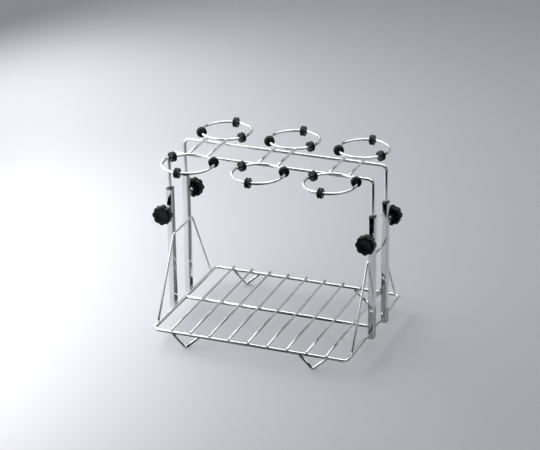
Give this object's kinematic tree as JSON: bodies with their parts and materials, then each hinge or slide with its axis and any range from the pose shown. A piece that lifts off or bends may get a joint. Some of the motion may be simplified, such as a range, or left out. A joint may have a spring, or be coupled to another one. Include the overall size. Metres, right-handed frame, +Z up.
{
  "type": "separating funnel stand",
  "caption": "Steel wire bench stand whose rings with rubber grommets hold separating funnels on a clamped, height-adjustable upper frame over a wire grid base.",
  "frame": {"origin": "on the bench, under the middle of the stand, midway between its feet", "axes": "+X along the long side, to the right as seen from the front; +Y from front to rear; +Z up"},
  "size_m": [0.4106, 0.287, 0.332],
  "materials": {
    "wire_steel": "bright electropolished stainless wire",
    "tube_steel": "mirror polished stainless tube",
    "screw_steel": "bright turned steel",
    "rubber": "semi-gloss black rubber",
    "knob_plastic": "moulded black plastic, satin",
    "cap_plastic": "moulded black plastic",
    "guide_plastic": "dark grey plastic"
  },
  "bodies": {
    "base": {"base_rim": "wire_steel", "middle_rail": "wire_steel", "cross_wires": "wire_steel", "foot_front_left": "wire_steel", "foot_front_right": "wire_steel", "foot_rear_left": "wire_steel", "foot_rear_right": "wire_steel", "side_brace_left": "wire_steel", "side_brace_right": "wire_steel", "tube_front_left": "tube_steel", "tube_front_right": "tube_steel", "tube_rear_left": "tube_steel", "tube_rear_right": "tube_steel", "tube_cap_front_left": "cap_plastic", "tube_cap_front_right": "cap_plastic", "tube_cap_rear_left": "cap_plastic", "tube_cap_rear_right": "cap_plastic", "clamp_boss_front_left": "screw_steel", "clamp_boss_front_right": "screw_steel", "clamp_boss_rear_left": "screw_steel", "clamp_boss_rear_right": "screw_steel"},
    "upper_frame": {"top_frame_front": "wire_steel", "top_frame_rear": "wire_steel", "ring_bridge_left": "wire_steel", "ring_bridge_middle": "wire_steel", "ring_bridge_right": "wire_steel", "ring_front_left": "wire_steel", "ring_front_middle": "wire_steel", "ring_front_right": "wire_steel", "ring_rear_left": "wire_steel", "ring_rear_middle": "wire_steel", "ring_rear_right": "wire_steel", "grommet_front_left_1": "rubber", "grommet_front_left_2": "rubber", "grommet_front_left_3": "rubber", "grommet_front_middle_1": "rubber", "grommet_front_middle_2": "rubber", "grommet_front_middle_3": "rubber", "grommet_front_right_1": "rubber", "grommet_front_right_2": "rubber", "grommet_front_right_3": "rubber", "grommet_rear_left_1": "rubber", "grommet_rear_left_2": "rubber", "grommet_rear_left_3": "rubber", "grommet_rear_middle_1": "rubber", "grommet_rear_middle_2": "rubber", "grommet_rear_middle_3": "rubber", "grommet_rear_right_1": "rubber", "grommet_rear_right_2": "rubber", "grommet_rear_right_3": "rubber", "leg_guides": "guide_plastic"},
    "clamp_screw_front_left": {"clamp_stud_front_left": "screw_steel"},
    "clamp_knob_front_left": {"clamp_knob_front_left": "knob_plastic"},
    "clamp_screw_front_right": {"clamp_stud_front_right": "screw_steel"},
    "clamp_knob_front_right": {"clamp_knob_front_right": "knob_plastic"},
    "clamp_screw_rear_left": {"clamp_stud_rear_left": "screw_steel"},
    "clamp_knob_rear_left": {"clamp_knob_rear_left": "knob_plastic"},
    "clamp_screw_rear_right": {"clamp_stud_rear_right": "screw_steel"},
    "clamp_knob_rear_right": {"clamp_knob_rear_right": "knob_plastic"}
  },
  "joints": [
    {"name": "height_slide", "type": "slide", "parent": "base", "child": "upper_frame", "axis": [0, 0, 1], "range_m": [-0.055, 0.085]},
    {"name": "clamp_travel_front_left", "type": "slide", "parent": "base", "child": "clamp_screw_front_left", "axis": [0, -1, 0], "range_m": [0, 0.002]},
    {"name": "clamp_turn_front_left", "type": "hinge", "parent": "clamp_screw_front_left", "child": "clamp_knob_front_left", "pos_m": [-0.1878, -0.069, 0.2128], "axis": [0, -1, 0], "range_deg": [0, 720]},
    {"name": "clamp_travel_front_right", "type": "slide", "parent": "base", "child": "clamp_screw_front_right", "axis": [0, -1, 0], "range_m": [0, 0.002]},
    {"name": "clamp_turn_front_right", "type": "hinge", "parent": "clamp_screw_front_right", "child": "clamp_knob_front_right", "pos_m": [0.1878, -0.069, 0.2128], "axis": [0, -1, 0], "range_deg": [0, 720]},
    {"name": "clamp_travel_rear_left", "type": "slide", "parent": "base", "child": "clamp_screw_rear_left", "axis": [0, 1, 0], "range_m": [0, 0.002]},
    {"name": "clamp_turn_rear_left", "type": "hinge", "parent": "clamp_screw_rear_left", "child": "clamp_knob_rear_left", "pos_m": [-0.1878, 0.069, 0.2128], "axis": [0, 1, 0], "range_deg": [0, 720]},
    {"name": "clamp_travel_rear_right", "type": "slide", "parent": "base", "child": "clamp_screw_rear_right", "axis": [0, 1, 0], "range_m": [0, 0.002]},
    {"name": "clamp_turn_rear_right", "type": "hinge", "parent": "clamp_screw_rear_right", "child": "clamp_knob_rear_right", "pos_m": [0.1878, 0.069, 0.2128], "axis": [0, 1, 0], "range_deg": [0, 720]}
  ],
  "couplings": [
    {"joint": "clamp_turn_front_left", "follows": "clamp_travel_front_left", "rad_per_m": 6283.2},
    {"joint": "clamp_turn_front_right", "follows": "clamp_travel_front_right", "rad_per_m": 6283.2},
    {"joint": "clamp_turn_rear_left", "follows": "clamp_travel_rear_left", "rad_per_m": 6283.2},
    {"joint": "clamp_turn_rear_right", "follows": "clamp_travel_rear_right", "rad_per_m": 6283.2}
  ]
}
